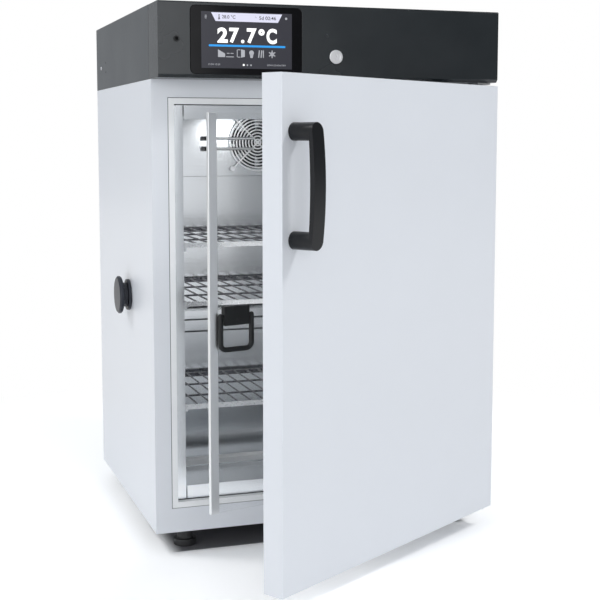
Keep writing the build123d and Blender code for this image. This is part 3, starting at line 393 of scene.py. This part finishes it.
def add_piece(name, bm, body, material):
    """Turns a bmesh into a piece that rides on a body, smooth except at sharp edges."""
    for face in bm.faces:
        face.smooth = True
    for edge in bm.edges:
        edge.smooth = len(edge.link_faces) == 2 and edge.calc_face_angle(0.0) < SMOOTH_BELOW
    mesh = bpy.data.meshes.new(name)
    bm.to_mesh(mesh)
    bm.free()
    mesh.materials.append(material)
    piece = bpy.data.objects.new(name, mesh)
    bpy.context.scene.collection.objects.link(piece)
    weighted = piece.modifiers.new("flat faces", "WEIGHTED_NORMAL")
    weighted.keep_sharp = True
    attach(piece, body)
    return piece


def round_edges(bm, width, above, segments):
    """Bevels the edges whose faces meet at more than an angle."""
    sharp = [
        edge
        for edge in bm.edges
        if len(edge.link_faces) == 2 and edge.calc_face_angle(0.0) > radians(above)
    ]
    bmesh.ops.bevel(
        bm,
        geom=sharp,
        offset=width,
        offset_type="OFFSET",
        affect="EDGES",
        segments=segments,
        profile=0.5,
        material=-1,
        clamp_overlap=True,
    )


def finished(node, material, width=0.0, above=30.0, segments=2):
    """Replaces a CAD node by a copy with joined faces and rounded edges."""
    bm = bmesh.new()
    bm.from_mesh(nodes[node].data)
    bmesh.ops.remove_doubles(bm, verts=bm.verts, dist=1e-6)
    bmesh.ops.dissolve_limit(
        bm, angle_limit=radians(0.5), use_dissolve_boundaries=False, verts=bm.verts, edges=bm.edges
    )
    if width:
        round_edges(bm, width, above, segments)
    piece = add_piece(node + "_finished", bm, body_of[node], material)
    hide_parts(node)
    return piece


def paint(material, *names):
    """Gives CAD nodes that stay as they are a finish."""
    for name in names:
        data = nodes[name].data
        data.materials.clear()
        data.materials.append(material)


# %% [markdown]
# ## Casing, control box, chamber and doors
#
# Sheet steel keeps a bend radius of about its own thickness, and moulded pieces have softer
# edges. The number behind each finish is the width of the bevel. Pieces that are hidden behind
# others only get a finish and keep the mesh of the CAD model.

# %% Finish the casing
finished("left_side_panel", white_paint, 0.5 * MM)
finished("right_side_panel", white_paint, 0.5 * MM)
finished("front_frame", white_paint, 0.3 * MM)
finished("rear_panel", white_paint, 0.3 * MM)
finished("machine_grille", white_paint, 0.2 * MM)
finished("feet", foot_rubber, 1.2 * MM)
paint(zinc, "base_plate", "top_plate")
paint(rigid_foam, "insulation", "door_foam")

# %% Finish the control box
finished("control_fascia", graphite_plastic, 0.5 * MM)
finished("head_shell", graphite_paint, 0.5 * MM)
finished("display_glass", screen_cover, 0.6 * MM)
finished("service_port", black_plastic, 0.3 * MM)
finished("head_screws", chrome, 0.5 * MM)
finished("lock_housing", chrome, 0.7 * MM)
finished("lock_barrel", chrome, 0.4 * MM)
finished("power_inlet", black_plastic, 0.4 * MM)
finished("power_rocker", black_plastic, 0.4 * MM)
paint(black_plastic, "display_module")
paint(circuit_board, "controller_board")
paint(zinc, "power_supply")

# %% Finish the chamber
finished("opening_trim", trim_plastic, 0.4 * MM)
finished("side_rim_strips", rim_steel, 0.2 * MM)
finished("cross_rim_strips", rim_steel, 0.2 * MM)
finished("fan_guard", wire_steel, 0.5 * MM)
finished("sensor_tubes", wire_steel, 0.5 * MM)
finished("sensor_clip", black_plastic, 0.6 * MM)
finished("step_cover", polished_steel, 0.2 * MM)
BAR_DEEP = 6 * MM
print("shelf bars end", BAR_DEEP, "m behind the front of each shelf")
for shelf in ("shelf_top", "shelf_middle", "shelf_bottom"):
    bar_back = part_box(shelf)[0][1] + BAR_DEEP
    finished(shelf, shelf_steel_and_painted_shade(shelf + " steel", bar_back), 0.3 * MM, above=40.0, segments=1)
finished("left_shelf_rack", brushed_steel, 0.3 * MM)
finished("right_shelf_rack", brushed_steel, 0.3 * MM)
finished("port_sleeve", plug_plastic, 0.8 * MM)
finished("port_plug", plug_plastic, 0.4 * MM)
finished("fan_motor", black_plastic, 0.4 * MM)
paint(polished_steel, "chamber_liner", "fan_panel", "rear_wall_panel")
paint(black_plastic, "circulation_fan", "condenser_fan")
paint(aluminium, "evaporator", "condenser")
paint(brushed_steel, "heater")
paint(compressor_paint, "compressor")
paint(zinc, "condenser_fan_motor")

# %% Finish the doors
finished("door_skin", white_paint, 0.3 * MM)
finished("door_liner", liner_plastic, 1.0 * MM)
finished("door_gasket", gasket_rubber, 0.6 * MM)
finished("door_hinges", zinc, 0.5 * MM)
finished("glass_edge_profile", aluminium, 0.2 * MM)
finished("glass_hinge_profile", aluminium, 0.2 * MM)
finished("glass_hinges", zinc, 0.4 * MM)
finished("pull_plate", black_plastic, 0.4 * MM)
finished("ring_pull", black_plastic)
finished("frame_rivets", white_paint, 0.1 * MM)
finished("door_handle", handle_plastic, 1.5 * MM)
paint(liner_plastic, "door_bushes")
paint(pane_glass, "glass_pane")

# %% [markdown]
# ## Painted shade round the trim
#
# A thin dark strip round the outside of the trim is painted shade for the gap there. Inside it,
# black strips of painted shade fill the gap to the stainless rim, and also the gaps between the
# side strips and the cross strips. All of them are thin bars set round the boxes of the CAD pieces,
# so they follow those pieces.

# %% Helper: boxes and frames


def block(low, high):
    """A box between two corners, in metres."""
    bm = bmesh.new()
    bmesh.ops.create_cube(bm, size=1.0)
    low, high = Vector(low), Vector(high)
    bmesh.ops.scale(bm, vec=high - low, verts=bm.verts)
    bmesh.ops.translate(bm, vec=(low + high) / 2, verts=bm.verts)
    return bm


def join(*parts):
    """Puts several drawings into one."""
    whole = bmesh.new()
    for part in parts:
        mesh = bpy.data.meshes.new("scratch")
        part.to_mesh(mesh)
        part.free()
        whole.from_mesh(mesh)
        bpy.data.meshes.remove(mesh)
    return whole


def hoop(x0, x1, z0, z1, y0, y1, thick):
    """Four bars round an upright rectangle, each lying just inside it."""
    return join(
        block((x0, y0, z0), (x1, y1, z0 + thick)),
        block((x0, y0, z1 - thick), (x1, y1, z1)),
        block((x0, y0, z0 + thick), (x0 + thick, y1, z1 - thick)),
        block((x1 - thick, y0, z0 + thick), (x1, y1, z1 - thick)),
    )


# %% Painted shade round the trim
trim_low, trim_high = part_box("opening_trim")
cross_low, cross_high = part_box("cross_rim_strips")
front_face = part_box("front_frame")[0][1]
rim_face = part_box("side_rim_strips")[0][1]
shade_gap_wide = 0.9 * MM
shade_gap_thin = 0.05 * MM
# A dark strip on the front face as painted shade for the gap round the trim.
add_piece(
    "trim_painted_shade",
    hoop(
        trim_low[0] - shade_gap_wide,
        trim_high[0] + shade_gap_wide,
        trim_low[2] - shade_gap_wide,
        trim_high[2] + shade_gap_wide,
        front_face - shade_gap_thin,
        front_face + shade_gap_thin,
        shade_gap_wide,
    ),
    "cabinet",
    gasket_rubber,
)

# %% Painted shade between the trim and the rim
trim_wide = 9.8 * MM
rim_shade_wide = 1.5 * MM
rim_shade_proud = 0.6 * MM
clear = 0.02 * MM
# Black bars as painted shade in the gap between the trim and the stainless rim.
add_piece(
    "rim_painted_shade",
    hoop(
        trim_low[0] + trim_wide,
        trim_high[0] - trim_wide,
        trim_low[2] + trim_wide,
        trim_high[2] - trim_wide,
        rim_face - rim_shade_proud,
        rim_face - clear,
        rim_shade_wide,
    ),
    "cabinet",
    gasket_rubber,
)

# %% Painted shade in the four gaps of the rim
gap_wide = 1.6 * MM
gap_proud = 0.3 * MM
rim_tall = 24 * MM


# A black bar as painted shade in one gap between a side strip and a cross strip.
def gap_shade_strip(left, bottom):
    return block(
        (left, rim_face - gap_proud, bottom),
        (left + gap_wide, rim_face - clear, bottom + rim_tall),
    )


gap_painted_shade = [
    gap_shade_strip(left, bottom)
    for left in (cross_low[0] - gap_wide, cross_high[0])
    for bottom in (cross_low[2], cross_high[2] - rim_tall)
]
add_piece("gap_painted_shade", join(*gap_painted_shade), "cabinet", gasket_rubber)

# %% [markdown]
# ## Lip on the chamber's floor
#
# A low lip crosses the floor in front of the cooling unit's cover. It is bent sheet with a short
# front and a flat top, so two thin boxes that meet at the edge make it.

# %% Floor lip
liner_sheet = 2 * MM
lip_sheet = 1.2 * MM
lip_half = 235 * MM
lip_deep = 25 * MM
lip_high = 10 * MM
lip_front = -23.5 * MM
lip_back = lip_front + lip_deep
lip_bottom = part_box("chamber_liner")[0][2] + liner_sheet
lip_top = lip_bottom + lip_high
lip = join(
    block((-lip_half, lip_front, lip_bottom), (lip_half, lip_front + lip_sheet, lip_top)),
    block((-lip_half, lip_front + lip_sheet, lip_top - lip_sheet), (lip_half, lip_back, lip_top)),
)
add_piece("floor_lip", lip, "cabinet", trim_plastic)

# %% [markdown]
# ## The screen
#
# The screen shows a large temperature, a bar with two small values, a row of symbols and three
# page dots. They are thin flat pieces just in front of the cover glass, drawn in millimetres
# from the middle of the screen.

# %% Where the screen is
cover_low, cover_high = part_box("display_glass")
screen_middle = (Vector(cover_low) + Vector(cover_high)) / 2
screen_front = cover_low[1]
LAYER = 0.06 * MM
print("screen middle", tuple(round(v, 4) for v in screen_middle))


def on_screen(bm, x, z, layer):
    """Turns a flat drawing, made in millimetres on XY, to face the front of the screen."""
    bmesh.ops.scale(bm, vec=(MM, MM, MM), verts=bm.verts)
    bmesh.ops.rotate(bm, cent=(0, 0, 0), matrix=Matrix.Rotation(pi / 2, 3, "X"), verts=bm.verts)
    spot = Vector((screen_middle.x + x * MM, screen_front - layer * LAYER, screen_middle.z + z * MM))
    bmesh.ops.translate(bm, vec=spot, verts=bm.verts)


def flat_shape(outlines, round_off=0.0):
    """A bmesh with one flat face for each outline of (x, y) corners, in millimetres."""
    bm = bmesh.new()
    for outline in outlines:
        bm.faces.new([bm.verts.new((x, y, 0)) for x, y in outline])
    if round_off:
        bmesh.ops.bevel(
            bm,
            geom=bm.verts,
            offset=round_off,
            offset_type="OFFSET",
            affect="VERTICES",
            segments=4,
            profile=0.5,
            material=-1,
        )
    return bm


def disc(radius, x=0.0, y=0.0, hole=0.0):
    """A flat disc or ring, in millimetres."""
    bm = bmesh.new()
    bmesh.ops.create_circle(bm, cap_ends=True, radius=radius, segments=32)
    if hole:
        face = bm.faces[:]
        bmesh.ops.inset_region(bm, faces=face, thickness=radius - hole)
        bmesh.ops.delete(bm, geom=face, context="FACES")
    bmesh.ops.translate(bm, vec=(x, y, 0), verts=bm.verts)
    return bm


def screen_piece(name, bm, x, z, material, layer=2):
    on_screen(bm, x, z, layer)
    return add_piece(name, bm, "cabinet", material)


# %% Background, bar, line and page dots
SCREEN_WIDE, SCREEN_HIGH = 152.4, 89.5
corners = [(x * SCREEN_WIDE / 2, y * SCREEN_HIGH / 2) for x, y in ((-1, -1), (1, -1), (1, 1), (-1, 1))]
screen_piece("screen_background", flat_shape([corners]), 0, 0, screen_dark, layer=1)

bar = flat_shape([[(-52.4, 29.8), (52.4, 29.8), (59.7, 43.4), (-59.7, 43.4)]])
screen_piece("screen_top_bar", bar, 0, 0, screen_bar)

line = flat_shape([[(-64, -10.4), (65, -10.4), (65, -7.2), (-64, -7.2)]], round_off=1.4)
screen_piece("screen_line", line, 0, 0, screen_blue)

screen_piece("screen_first_dot", disc(1.7), -5.9, -39.0, screen_white)
screen_piece("screen_other_dots", join(disc(1.35), disc(1.35, x=6.1)), 0.3, -39.1, screen_grey)

# %% Words and numbers on the screen


def lettering(text, x, z, height, width, weight=0.0):
    """A drawing of letters in Blender's own font, scaled to a height and a width in millimetres."""
    curve = bpy.data.curves.new(text, "FONT")
    curve.body = text
    curve.size = 10.0
    curve.offset = weight
    scratch = bpy.data.objects.new(text, curve)
    bpy.context.scene.collection.objects.link(scratch)
    mesh = bpy.data.meshes.new_from_object(scratch.evaluated_get(bpy.context.evaluated_depsgraph_get()))
    bm = bmesh.new()
    bm.from_mesh(mesh)
    bpy.data.objects.remove(scratch)
    bpy.data.meshes.remove(mesh)
    xs = [vert.co.x for vert in bm.verts]
    ys = [vert.co.y for vert in bm.verts]
    middle = Vector(((min(xs) + max(xs)) / 2, (min(ys) + max(ys)) / 2, 0))
    bmesh.ops.translate(bm, vec=-middle, verts=bm.verts)
    wide = width / (max(xs) - min(xs))
    tall = height / (max(ys) - min(ys))
    bmesh.ops.scale(bm, vec=(wide, tall, 1), verts=bm.verts)
    bmesh.ops.translate(bm, vec=(x, z, 0), verts=bm.verts)
    return bm


def screen_text(name, text, x, z, height, width, material, weight=0.0):
    drawing = lettering(text, 0, 0, height, width, weight)
    return screen_piece(name, drawing, x, z, material, layer=3)


# Each character of the large value: its middle in x and z, its height and its width.
GLYPHS = {
    "tens": ("2", -41.0, 7.8, 24.2, 17.4),
    "ones": ("7", -21.7, 7.8, 24.2, 16.6),
    "point": (".", -7.4, -1.5, 5.6, 5.6),
    "tenths": ("7", 7.8, 7.8, 24.2, 16.6),
    "degree": ("°", 24.4, 13.9, 10.4, 10.4),
    "celsius": ("C", 41.6, 7.8, 24.6, 17.5),
}
glyphs = [lettering(*glyph, weight=0.42) for glyph in GLYPHS.values()]
screen_piece("screen_temperature", join(*glyphs), 0, 0, screen_white, layer=3)
screen_text("screen_set_value", "28.0 °C", -30.6, 37.0, 5.6, 22.5, screen_ink, weight=0.12)
screen_text("screen_time_left", "5d 02:46", 34.8, 36.6, 5.6, 28.5, screen_ink, weight=0.12)
screen_text("screen_date", "12.04 10:35", -55.0, -38.7, 2.6, 19.6, screen_grey)
screen_text("screen_counter", "000123456789", 49.5, -38.6, 2.4, 31.5, screen_grey)

# %% Symbols
thermometer = join(disc(1.7, y=-2.6), flat_shape([[(-0.9, -2.6), (0.9, -2.6), (0.9, 4.0), (-0.9, 4.0)]]))
screen_piece("screen_thermometer", thermometer, -46.6, 36.6, screen_ink)

hands = flat_shape(
    [
        [(-0.35, -0.3), (0.35, -0.3), (0.35, 2.2), (-0.35, 2.2)],
        [(0, -0.35), (1.8, -0.35), (1.8, 0.35), (0, 0.35)],
    ]
)
screen_piece("screen_clock", join(disc(3.8, hole=3.0), hands), 14.3, 37.0, screen_ink)

menu_lines = flat_shape([[(-1.6, y), (1.6, y), (1.6, y + 0.9), (-1.6, y + 0.9)] for y in (-2.6, -0.5, 1.6)])
screen_piece("screen_menu", menu_lines, -68.6, 36.3, screen_grey)

round_button = join(disc(4.6, hole=3.6), disc(1.9, y=0.2))
screen_piece("screen_round_button", round_button, 66.4, 36.6, screen_grey)

ramp = flat_shape(
    [
        [(-13.2, -6.2), (-1.5, -6.2), (-1.5, -0.6), (-13.2, 6.0)],
        [(0.2, -6.2), (13.2, -6.2), (13.2, -5.0), (0.2, -5.0)],
        [(1.5, -0.6), (6.0, -0.6), (6.0, 0.5), (1.5, 0.5)],
        [(7.6, -0.6), (12.6, -0.6), (12.6, 0.5), (7.6, 0.5)],
    ]
)
screen_piece("screen_ramp", ramp, -35.5, -20.8, screen_grey)

door_left = flat_shape(
    [
        [(-6.8, -5.6), (-5.6, -5.6), (-5.6, 5.6), (-6.8, 5.6)],
        [(-5.6, -6.4), (-1.0, -6.4), (-1.0, -5.3), (-5.6, -5.3)],
        [(-5.6, 5.3), (-1.0, 5.3), (-1.0, 6.4), (-5.6, 6.4)],
        [(0.2, -6.6), (6.6, -5.2), (6.6, 5.4), (0.2, 6.6)],
    ]
)
screen_piece("screen_door", door_left, -10.5, -20.7, screen_grey)

bulb = join(disc(4.0, y=1.8), flat_shape([[(-1.9, -6.3), (1.9, -6.3), (3.0, -0.6), (-3.0, -0.6)]]))
screen_piece("screen_bulb", bulb, 7.4, -21.2, screen_grey)

waves = flat_shape([[(x - 0.9, -5.9), (x + 0.9, -5.9), (x + 2.2, 5.9), (x + 0.4, 5.9)] for x in (-4.6, -0.6)])
bars = flat_shape([[(2.6, -5.9), (4.2, -5.9), (4.2, 5.9), (2.6, 5.9)]])
screen_piece("screen_heat", join(waves, bars), 24.0, -20.9, screen_grey)


def ray(turn):
    """One arm of the snowflake."""
    arm = flat_shape([[(-0.85, -6.1), (0.85, -6.1), (0.85, 6.1), (-0.85, 6.1)]])
    bmesh.ops.rotate(arm, cent=(0, 0, 0), matrix=Matrix.Rotation(turn, 3, "Z"), verts=arm.verts)
    return arm


snowflake = join(disc(3.4), *[ray(pi / 3 * step) for step in range(3)])
screen_piece("screen_snowflake", snowflake, 42.3, -20.9, screen_grey)

# %% [markdown]
# ## Floor
#
# The ground is plain white, with a dark painted shadow under the cabinet. The camera, mirrors
# and glass see a floor that is bright near the feet and turns to pure white further out, while
# the light that bounces off the floor comes from a plain pale one. Under the body the bright
# floor's colour is dark grey: a painted shadow.

# %% Floor
FLOOR_SIZE = 12.0
SHADOW_MIDDLE = (0.004, -0.170)
SHADOW_HALF = (0.276, 0.090)
SHADOW_EDGE = (0.92, 1.04)
SHADOW_GRAY = (0.16, 0.16, 0.17)
BRIGHT_FLOOR = (1.45, 1.45, 1.45)
PURE_WHITE = (1.0, 1.0, 1.0)
FADE_FROM, FADE_TO = 0.7, 1.2

stage = bmesh.new()
bmesh.ops.create_grid(stage, x_segments=1, y_segments=1, size=FLOOR_SIZE)
floor_mesh = bpy.data.meshes.new("floor")
stage.to_mesh(floor_mesh)
stage.free()
floor = bpy.data.objects.new("floor", floor_mesh)
bpy.context.scene.collection.objects.link(floor)

# %% Floor finish
ground = Finish("white floor", (0.86, 0.87, 0.89), 0.9)


def off_middle(axis, index):
    """How far a point lies from the middle of the painted shadow, where its edge is at 1."""
    value = ground.node("ShaderNodeSeparateXYZ", None, {0: ground.place()}, output=axis)
    return (value - SHADOW_MIDDLE[index]).size() * (1 / SHADOW_HALF[index])


# A painted shadow: the floor's colour turns dark grey inside a box under the cabinet.
outside_painted_shadow = ground.climb(off_middle("X", 0).larger(off_middle("Y", 1)), *SHADOW_EDGE)
painted_shadow_color = ground.blend(outside_painted_shadow, SHADOW_GRAY, BRIGHT_FLOOR)
near_floor = ground.node("ShaderNodeBsdfDiffuse", None, {"Color": painted_shadow_color})
far_floor = ground.node("ShaderNodeEmission", None, {"Color": (*PURE_WHITE, 1.0), "Strength": 1.0})
reach = ground.node("ShaderNodeVectorMath", {"operation": "LENGTH"}, {0: ground.place()}, output="Value")
bright_floor = ground.either(ground.climb(reach, FADE_FROM, FADE_TO), near_floor, far_floor)
watched = ground.is_ray("Camera").larger(ground.is_ray("Glossy")).larger(ground.is_ray("Transmission"))
plain_floor = Value(ground, ground.shader.outputs["BSDF"])
ground.finish_with(ground.either(watched, plain_floor, bright_floor), ground.tree.nodes["Material Output"])
floor_mesh.materials.append(ground.data)

# %% [markdown]
# ## Studio
#
# The camera and the glass see pure white. Everything else is lit by a soft bluish sky. Mirrors
# see a studio of their own: bright in front, like the sky behind, and dark to the right, which
# gives the fascia its fall from grey at the left to near black at the right.

# %% World
SKY = (0.93, 0.96, 1.0)
SKY_LEVEL = 0.55
MIRRORED_FRONT = 1.3
MIRRORED_RIGHT = 0.05
BEHIND_FROM, BEHIND_TO = -0.2, 0.2
DARK_FROM, DARK_TO = 0.10, 0.42

world = bpy.data.worlds.new("studio")
bpy.context.scene.world = world
world.use_nodes = True
sky = Nodes(world.node_tree)
sky.tree.nodes.clear()


def glow(strength, color=SKY):
    return sky.node("ShaderNodeBackground", None, {"Color": (*color, 1.0), "Strength": strength})


def toward(axis):
    """How much a ray runs along an axis, from -1 to 1."""
    ray_direction = sky.node("ShaderNodeTexCoord", output="Generated")
    return sky.node("ShaderNodeSeparateXYZ", None, {0: ray_direction}, output=axis)


soft = glow(SKY_LEVEL)
behind = sky.climb(toward("Y"), BEHIND_FROM, BEHIND_TO, curve="LINEAR")
left_side = sky.either(behind, glow(MIRRORED_FRONT), soft)
mirrored = sky.either(sky.climb(toward("X"), DARK_FROM, DARK_TO), left_side, glow(MIRRORED_RIGHT))
lighting = sky.either(sky.is_ray("Glossy"), soft, mirrored)
seen = sky.is_ray("Camera").larger(sky.is_ray("Transmission"))
backdrop = sky.either(seen, lighting, glow(1.0, PURE_WHITE))
sky.finish_with(backdrop, sky.tree.nodes.new("ShaderNodeOutputWorld"))

# %% [markdown]
# ## Lamps
#
# Two small lamps high at the right and behind at the left give the doors and the side their
# crisp shadows. A wide panel in front and a tall one at the left soften them. Three weak lamps
# stand in for what the steel chamber mirrors in a real room: a window, the pale inside of the
# open door, and the light that falls back on that door.

# %% Lamps


def lamp(name, place, target, size, power):
    """A rectangular lamp at a place, turned to a target, that the camera doesn't see."""
    data = bpy.data.lights.new(name, "AREA")
    data.shape = "RECTANGLE"
    data.size, data.size_y = size
    data.energy = power
    made = bpy.data.objects.new(name, data)
    made.location = place
    made.rotation_mode = "QUATERNION"
    made.rotation_quaternion = (Vector(target) - Vector(place)).to_track_quat("-Z", "Y")
    made.visible_camera = False
    bpy.context.scene.collection.objects.link(made)
    return made


lamp("door_key", (1.84, -1.55, 2.63), (-0.1, -0.5, 0.6), (0.5, 0.5), 26)
lamp("side_key", (-2.1, 0.7, 2.75), (-0.3, 0.0, 0.5), (0.7, 0.7), 20)
lamp("front_panel", (-0.1, -3.0, 1.1), (0.0, -0.3, 0.8), (1.2, 1.0), 7)
lamp("edge_fill", (-2.6, -2.2, 0.9), (-0.2, -0.6, 0.45), (1.0, 1.4), 18)
lamp("chamber_window", (0.050, -0.335, 0.738), (0.050, 0.3, 0.733), (0.08, 0.06), 0.12)
lamp("chamber_glow", (-0.03, -0.335, 0.50), (-0.03, 0.3, 0.50), (0.23, 0.42), 0.11)
liner_fill = lamp("liner_fill", (-0.05, 0.05, 0.45), (0.12, -0.36, 0.45), (0.3, 0.4), 0.9)
liner_fill.visible_glossy = False

bpy.context.scene.view_settings.view_transform = "Standard"
